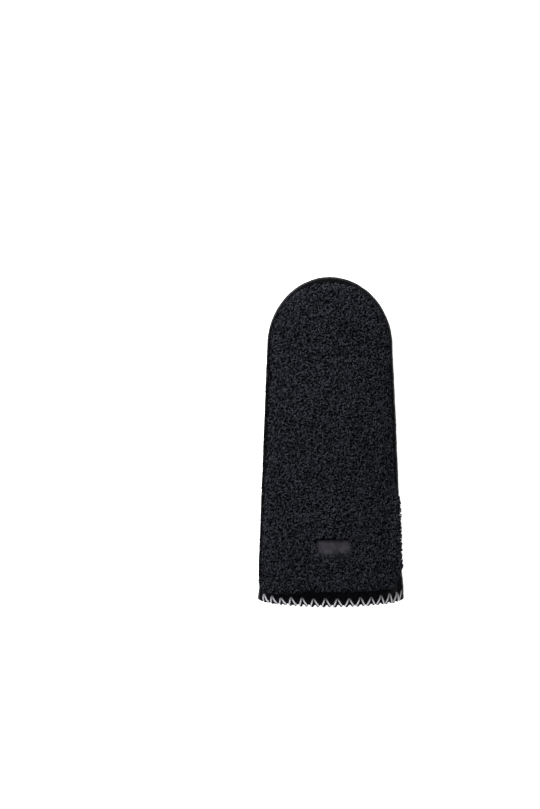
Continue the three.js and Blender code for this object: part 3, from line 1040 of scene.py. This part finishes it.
def curlTree(material):
    tree, given = startTree("scattered curls", {
        "Curls": "Collection",
        "Spacing": "Float",
        "Seed": "Int",
        "From": "Float",
        "To": "Float",
        "Tilt": "Float",
        "Smallest": "Float",
        "Largest": "Float",
    })
    add = partial(addNode, tree)
    spread = {
        "Mesh": given["Geometry"],
        "Distance Min": given["Spacing"],
        "Density Max": 900000.0,
        "Seed": given["Seed"],
    }
    spots = add("GeometryNodeDistributePointsOnFaces", {"distribute_method": "POISSON"}, spread).outputs
    position = add("GeometryNodeInputPosition").outputs[0]
    up = add("ShaderNodeSeparateXYZ", inputs={"Vector": position}).outputs["Y"]
    within = {}
    for operation, end in (("GREATER_EQUAL", "From"), ("LESS_THAN", "To")):
        settings = {"data_type": "FLOAT", "operation": operation}
        within[len(within)] = add("FunctionNodeCompare", settings, {"A": up, "B": given[end]}).outputs[0]
    both = add("FunctionNodeBooleanMath", {"operation": "AND"}, within).outputs[0]
    chosen = {"Geometry": spots["Points"], "Selection": both}
    wanted = add("GeometryNodeSeparateGeometry", {"domain": "POINT"}, chosen)
    children = {"Collection": given["Curls"], "Separate Children": True}
    sources = add("GeometryNodeCollectionInfo", inputs=children)
    tilt = given["Tilt"]
    minus = add("ShaderNodeMath", {"operation": "MULTIPLY"}, {0: tilt, 1: -1}).outputs[0]
    low = add("ShaderNodeCombineXYZ", inputs={"X": minus, "Y": minus})
    high = add("ShaderNodeCombineXYZ", inputs={"X": tilt, "Y": tilt, "Z": 2 * math.pi})
    ends = {0: low.outputs[0], 1: high.outputs[0]}
    turn = add("FunctionNodeRandomValue", {"data_type": "FLOAT_VECTOR"}, {**ends, "Seed": 3})
    spin = add("FunctionNodeEulerToRotation", inputs={"Euler": turn.outputs[0]})
    turns = {"Rotation": spots["Rotation"], "Rotate By": spin.outputs[0]}
    rotation = add("FunctionNodeRotateRotation", {"rotation_space": "LOCAL"}, turns)
    ends = {2: given["Smallest"], 3: given["Largest"]}
    size = add("FunctionNodeRandomValue", {"data_type": "FLOAT"}, {**ends, "Seed": 5})
    placed = add("GeometryNodeInstanceOnPoints", inputs={
        "Points": wanted.outputs["Selection"],
        "Instance": sources.outputs[0],
        "Pick Instance": True,
        "Rotation": rotation.outputs[0],
        "Scale": size.outputs[1],
    })
    ends = {2: curl["darkest"], 3: curl["lightest"]}
    shade = add("FunctionNodeRandomValue", {"data_type": "FLOAT"}, {**ends, "Seed": 11})
    # each curl's random tone, times the painted shade and light that the ground carries as lit
    lit = add("GeometryNodeInputNamedAttribute", {"data_type": "FLOAT"}, {"Name": "lit"})
    dimmed = add("ShaderNodeMath", {"operation": "MULTIPLY"}, {0: shade.outputs[1], 1: lit.outputs[0]})
    stored = add(
        "GeometryNodeStoreNamedAttribute",
        {"data_type": "FLOAT", "domain": "INSTANCE"},
        {"Geometry": placed.outputs[0], "Name": "shade", "Value": dimmed.outputs[0]},
    )
    return finishTree(tree, stored.outputs[0], material)


def insideBand(x, y):  # how far inside the painted shade band along the wool's edge a place is
    high = smooth(*paintedShadeBand["leftSpan"], y)
    left = mix(paintedShadeBand["left"], paintedShadeBand["upperLeft"], high)
    right = mix(paintedShadeBand["lowerRight"], paintedShadeBand["right"], smooth(*paintedShadeBand["rightSpan"], y))
    right = right + paintedShadeBand["corner"] * (1 - smooth(*paintedShadeBand["cornerSpan"], y))
    toSide = halfWidth(y) - np.abs(x)
    across, up = x / (shape["handWidth"] / 2), np.maximum(y - roundFrom, 0) / shape["tipDepth"]
    away = np.maximum(np.hypot(across, up), 1e-6)
    toEdge = np.where(y > roundFrom, shape["tipDepth"] * (1 - away), toSide)
    upward = np.where(y > roundFrom, 1 - (np.abs(across) / away) ** 1.5, 0) ** 2
    fromSide = toEdge - mix(np.where(x < 0, left, right), paintedShadeBand["top"], upward)
    bow = shape["hemBow"] * (1 - (x / halfWidth(y)) ** 2) * 0.86
    bareHem = mix(paintedShadeBand["hemLeft"], paintedShadeBand["hem"], smooth(*paintedShadeBand["hemSpan"], x))
    return np.minimum(fromSide, y + bow - shape["hemBow"] - wool["hem"] - bareHem)


def isOnLabel(x, y):
    covered = label["covered"]
    reach = np.where(x < label["right"], covered["left"], covered["right"])
    across = np.abs(x - label["right"]) - label["width"] / 2 + reach
    up = y - label["up"]
    above = up - label["height"] / 2 + covered["above"]
    below = up + label["height"] / 2 - covered["below"]
    return (across <= 0) & (above <= 0) & (below >= 0)


def curlGround():  # the top of the wool, where curls grow
    grid = woolTop
    rows, columns = grid.shape[:2]
    index = np.arange(rows * columns).reshape(rows, columns)
    quads = np.stack([index[:-1, :-1], index[:-1, 1:], index[1:, 1:], index[1:, :-1]], -1).reshape(-1, 4)
    centres = grid.reshape(-1, 3)[quads].mean(1)
    keep = ~isOnLabel(centres[:, 0], centres[:, 1])
    mesh = bpy.data.meshes.new("curl_ground")
    mesh.from_pydata(toMetres(grid.reshape(-1, 3)).tolist(), [], quads[keep].tolist())
    x, y = grid[..., 0].ravel(), grid[..., 1].ravel()
    soft = curl["shadeSoftness"]
    fromTip, toTip = curl["tipShadeSpan"]
    # lit is painted shade and light: near black along the seam, darker at the hem, lighter towards the
    # fingertips
    atTip = mix(1, curl["tipShade"], smooth(length - fromTip, length - toTip, y))
    lit = mix(curl["edgeShade"], 1, smooth(-soft, soft, insideBand(x, y)))
    lit *= mix(curl["hemShade"], 1, smooth(*curl["hemShadeSpan"], y)) * atTip
    mesh.attributes.new("lit", "FLOAT", "POINT").data.foreach_set("value", lit)
    work = bmesh.new()
    work.from_mesh(mesh)
    bmesh.ops.remove_doubles(work, verts=work.verts, dist=1e-5)
    bmesh.ops.recalc_face_normals(work, faces=work.faces)
    if sum(face.normal.z * face.calc_area() for face in work.faces) < 0:
        bmesh.ops.reverse_faces(work, faces=work.faces)
    work.to_mesh(mesh)
    work.free()
    return mesh


def addCurls():
    sources = bpy.data.collections.new("curl shapes")
    for number, facts in enumerate(curlShapes):
        sources.objects.link(curlMesh(number, facts))
    tree = curlTree(materials["wool"])
    groundMesh = curlGround()
    ends = np.linspace(-length / 2, length / 2, curl["pieces"] + 1) * mm
    for number in range(curl["pieces"]):
        grow(addObject(f"fleece_curls_{number + 1}", groundMesh), tree, {
            "Curls": sources,
            "Spacing": curl["spacing"] * mm,
            "Seed": curl["seed"],
            "From": float(ends[number]),
            "To": float(ends[number + 1]),
            "Tilt": curl["tilt"],
            "Smallest": curl["small"],
            "Largest": curl["large"],
        }, "wool")
    for source in list(sources.objects):
        bpy.data.objects.remove(source)
    bpy.data.collections.remove(sources)


addCurls()
print("curls ready")


# Threads
def meshFrom(name, parts, material):  # one object from several closed tubes of points
    vertices, faces = [], []
    for points in parts:
        faces += tubeFaces(points.shape[0], points.shape[1], len(vertices))
        vertices += points.reshape(-1, 3).tolist()
    return makeObject(name, vertices, faces, [0] * len(faces), [material])


def hemPoint(stitch, fromHem, distance):  # a point over the back's skin near the hem
    x = hemPlace(stitch)
    y = float(bowed(np.array([x, shape["hemBow"]]))[1]) + fromHem
    return overBack(np.array(x), np.array(y), distance)


def resample(path, count):  # evenly spaced points along a smooth line through the path's points
    path = np.array(path)
    steps = np.concatenate([[0], np.cumsum(np.linalg.norm(np.diff(path, axis=0), axis=1))])
    place = np.linspace(0, steps[-1], count)
    line = np.stack([np.interp(place, steps, path[:, k]) for k in range(3)], 1)
    for _ in range(2):
        line[1:-1] = (line[:-2] + 2 * line[1:-1] + line[2:]) / 4
    return line


def twisted(line, radius, turns, sides=5):  # two plies twisted round each other along a line
    beside, over = squareTo(line, [0.05, 0.1, 1])
    angle = np.linspace(0, 2 * math.pi * turns, len(line))
    offset = (beside * np.cos(angle)[:, None] + over * np.sin(angle)[:, None]) * radius * 0.75
    radii = np.full(len(line), radius)
    return [tubePoints(line + offset, radii, sides), tubePoints(line - offset, radii, sides)]


def hemThread():  # slanting stitches over the hem, two to each hole in the leather
    plies = []
    under = -(shape["backWall"] + 0.3)
    for k in range(hemStitch["count"]):
        side = float(hemPlace(k)) / (hemWidth / 2)
        top = hemStitch["height"] + hemStitch["topWave"] * math.sin(k * 2.3)
        top += hemStitch["rightHigher"] * float(smooth(0.5, 1, side))
        off = (k - hemStitch["leftLowerAt"]) / hemStitch["leftLowerHalf"]
        top -= hemStitch["leftLower"] * math.exp(-off ** 2)
        for sign, foot in zip((-1, 1), feetOf(side)):
            hole = k + sign * hemStitch["holeWidth"] / 2
            foot = k + foot
            if abs(float(hemPlace(foot))) > hemWidth / 2:
                continue
            path = [
                hemPoint(hole, top, -0.6),
                hemPoint(hole + sign * 0.01, top - 0.1, hemStitch["stand"] * 0.6),
                hemPoint(mix(hole, foot, 0.25), top * 0.76, hemStitch["arch"]),
                hemPoint(mix(hole, foot, 0.6), top * 0.42, hemStitch["arch"]),
                hemPoint(mix(hole, foot, 0.95), 1.2, hemStitch["stand"]),
                hemPoint(foot, 0.45, -0.3),
                hemPoint(foot, 0.5, under),
                hemPoint(foot, 1.8, under),
                hemPoint(foot, 2.4, under + 1.2),
            ]
            line = resample(path, hemStitch["plyPoints"])
            plies += twisted(line, hemStitch["ply"], hemStitch["plyTurns"])
    made = meshFrom("hem_thread", plies, materials["greyThread"])
    # rise is painted shade: each leg is painted lightest in its middle and dimmer towards its ends in the
    # leather
    inMiddle = []
    for ply in plies:
        inMiddle.append(np.repeat(np.sin(math.pi * np.linspace(0, 0.8, len(ply))), ply.shape[1]))
    rise = made.data.attributes.new("rise", "FLOAT", "POINT")
    rise.data.foreach_set("value", np.concatenate(inMiddle))
    return made


attach(hemThread(), "skin")


def stitchTree(material):
    tree, given = startTree("rows of stitches", {"Stitch": "Object", "Pitch": "Float"})
    add = partial(addNode, tree)
    curve = add("GeometryNodeMeshToCurve", inputs={"Mesh": given["Geometry"]})
    pitch = {"Curve": curve.outputs[0], "Length": given["Pitch"]}
    even = add("GeometryNodeResampleCurve", {"mode": "LENGTH"}, pitch)
    tangent = add("GeometryNodeInputTangent").outputs[0]
    first = add("FunctionNodeAlignRotationToVector", {"axis": "X"}, {"Vector": tangent})
    up = add("GeometryNodeInputNamedAttribute", {"data_type": "FLOAT_VECTOR"}, {"Name": "up"})
    aim = {"Rotation": first.outputs[0], "Vector": up.outputs[0]}
    second = add("FunctionNodeAlignRotationToVector", {"axis": "Z", "pivot_axis": "X"}, aim)
    shapeOf = add("GeometryNodeObjectInfo", inputs={"Object": given["Stitch"]})
    placed = add("GeometryNodeInstanceOnPoints", inputs={
        "Points": even.outputs[0],
        "Instance": shapeOf.outputs["Geometry"],
        "Rotation": second.outputs[0],
    })
    return finishTree(tree, placed.outputs[0], material)


seamStitch = {
    "radius": 0.26,
    "fromEdge": 1.25,
    "fromHole": 1.5,
    "inset": 1.1,
    "above": 0.02,
    "edge": {"pitch": 3.4, "length": 2.5},
    "thumb": {"pitch": 3.0, "length": 2.1},
    "label": {"pitch": 2.3, "length": 1.4},
}


def stitchShape(size, radius):  # a short thread that rises from one hole and dives into the next
    share = np.linspace(0, 1, 7)
    height = radius * 0.9 * np.sin(math.pi * share) ** 0.5 - radius * 0.5
    spine = np.stack([size * (share - 0.5), 0 * share, height], 1)
    mesh = bpy.data.meshes.new("stitch")
    points = tubePoints(spine, np.full(7, radius), 5).reshape(-1, 3)
    mesh.from_pydata((points * mm).tolist(), [], tubeFaces(7, 5))
    mesh.shade_smooth()
    return bpy.data.objects.new("stitch", mesh)


def stitchRows(kind, rows, slot, thread):  # rows are (points, up) along each seam
    vertices, edges, ups = [], [], []
    for points, up in rows:
        edges += [(len(vertices) + k, len(vertices) + k + 1) for k in range(len(points) - 1)]
        vertices += toMetres(points).tolist()
        ups += np.broadcast_to(up, points.shape).ravel().tolist()
    mesh = bpy.data.meshes.new(kind)
    mesh.from_pydata(vertices, edges, [])
    mesh.attributes.new("up", "FLOAT_VECTOR", "POINT").data.foreach_set("vector", ups)
    stitch = stitchShape(seamStitch[kind]["length"], seamStitch["radius"])
    values = {"Stitch": stitch, "Pitch": seamStitch[kind]["pitch"] * mm}
    grow(addObject(kind + "_stitches", mesh), stitchTree(materials[thread]), values, slot)
    bpy.data.objects.remove(stitch)


def edgeRow(side):  # along the raw edge, over it (side 1) or under it (side -1)
    line, middle = stationsAround(2, shape["hemBow"] + 1, lambda sign, y: seamStitch["fromEdge"])
    z = seamZ(line[:, 0], line[:, 1]) + side * (shape["seamEdgeThick"] + seamStitch["above"])
    return np.column_stack([line, z]), np.array([0, 0, side])


def normalsOf(grid):  # unit normals of a grid of points
    across = np.gradient(grid, axis=0)
    along = np.gradient(grid, axis=1)
    normals = np.cross(across, along)
    return normals / np.maximum(np.linalg.norm(normals, axis=-1, keepdims=True), 1e-9)


def thumbRows():  # beside both side seams of the thumb, on its front half
    rows = []
    normals = normalsOf(thumbGrids[0])
    span = slice(7, -2)  # from where the thumb leaves its base to just short of its tip
    if normals[len(normals) // 2, normals.shape[1] // 2, 2] > 0:
        normals = -normals
    for column in (3, -4):  # a little inside each side seam
        rows.append((thumbGrids[0][span, column], normals[span, column]))
    return rows


def baseRow():  # round the thumb's hole in the palm
    angles = np.linspace(0, 2 * math.pi, 91)
    a = thumb["baseWidth"] / 2 + shape["seamGap"] + seamStitch["fromHole"]
    b = thumb["baseLength"] / 2 + shape["seamGap"] + seamStitch["fromHole"]

    def height(x, y):
        return palmHeight(x, y, 1 - inward(x, y), 0)

    x, y = thumbBase[0] + a * np.cos(angles), thumbBase[1] + b * np.sin(angles)
    down = -upFrom(height, x, y)
    return np.column_stack([x, y, height(x, y)]) + down * seamStitch["above"], down


def labelRow():
    width, height = (label[key] - 2 * seamStitch["inset"] for key in ("width", "height"))
    outline = labelOutline(width, height, label["corner"] * 0.6)
    x, y = label["right"] + outline[:, 0], label["up"] + outline[:, 1]
    high = labelFrom + label["lift"] + label["thick"] - label["tilt"] * (y - label["up"])
    near, far = overBack(x, y, high), overBack(x, y, high + 1)
    return near, far - near


stitchRows("edge", [edgeRow(1), edgeRow(-1)], "suede", "blackThread")
stitchRows("thumb", thumbRows() + [baseRow()], "suede", "blackThread")
stitchRows("label", [labelRow()], "label", "labelThread")
print("threads ready")


# Floor, light and camera
studio = {  # each lamp has its place, size and power
    "floor": "#fafafa",
    "reach": 6,
    # the floor's glow is painted light that lightens the shadows on it
    "glow": 0.46,
    "world": 0.95,
    "key": ((-0.75, 0.95, 0.78), 0.7, 43),
    "fill": ((1.3, -1.1, 0.4), 1.0, 14),
}


def addLamp(name):  # it aims at the middle of the mitten
    place, size, power = studio[name]
    light = bpy.data.lights.new(name, "AREA")
    light.size = size
    light.energy = power
    made = addObject(name, light)
    made.location = place
    made.rotation_euler = (-Vector(place)).to_track_quat("-Z", "Y").to_euler()


def addStudio():
    mesh = bpy.data.meshes.new("floor")
    reach = studio["reach"]
    corners = [(-reach, -reach, 0), (reach, -reach, 0), (reach, reach, 0), (-reach, reach, 0)]
    mesh.from_pydata(corners, [], [(0, 1, 2, 3)])
    look = {"roughness": 0.9, "specular": 0.1, "light": studio["floor"], "glow": studio["glow"]}
    mesh.materials.append(makeMaterial("white studio paper", look))  # a clean white all round, with a painted glow that lightens the shadows on it
    floor = addObject("floor", mesh)
    world = bpy.data.worlds.new("soft room")
    world.use_nodes = True
    background = world.node_tree.nodes["Background"].inputs
    background["Color"].default_value = (1, 1, 1, 1)
    background["Strength"].default_value = studio["world"]
    bpy.context.scene.world = world
    addLamp("key")
    addLamp("fill")
    bpy.context.scene.view_settings.view_transform = "Standard"


photo = {
    "pixelMm": 0.839,
    "lens": 85,
    "sensor": 36,
    "longSide": 809,
    "left": 50.4,
    "up": 30.7,
    "plane": 20,
}


def addCamera():
    camera = bpy.data.cameras.new("camera")
    camera.lens = photo["lens"]
    camera.sensor_width = photo["sensor"]
    made = addObject("camera", camera)
    distance = photo["pixelMm"] * photo["lens"] * photo["longSide"] / photo["sensor"]
    made.location = (-photo["left"] * mm, photo["up"] * mm, (distance + photo["plane"]) * mm)
    bpy.context.scene.camera = made


addStudio()
addCamera()
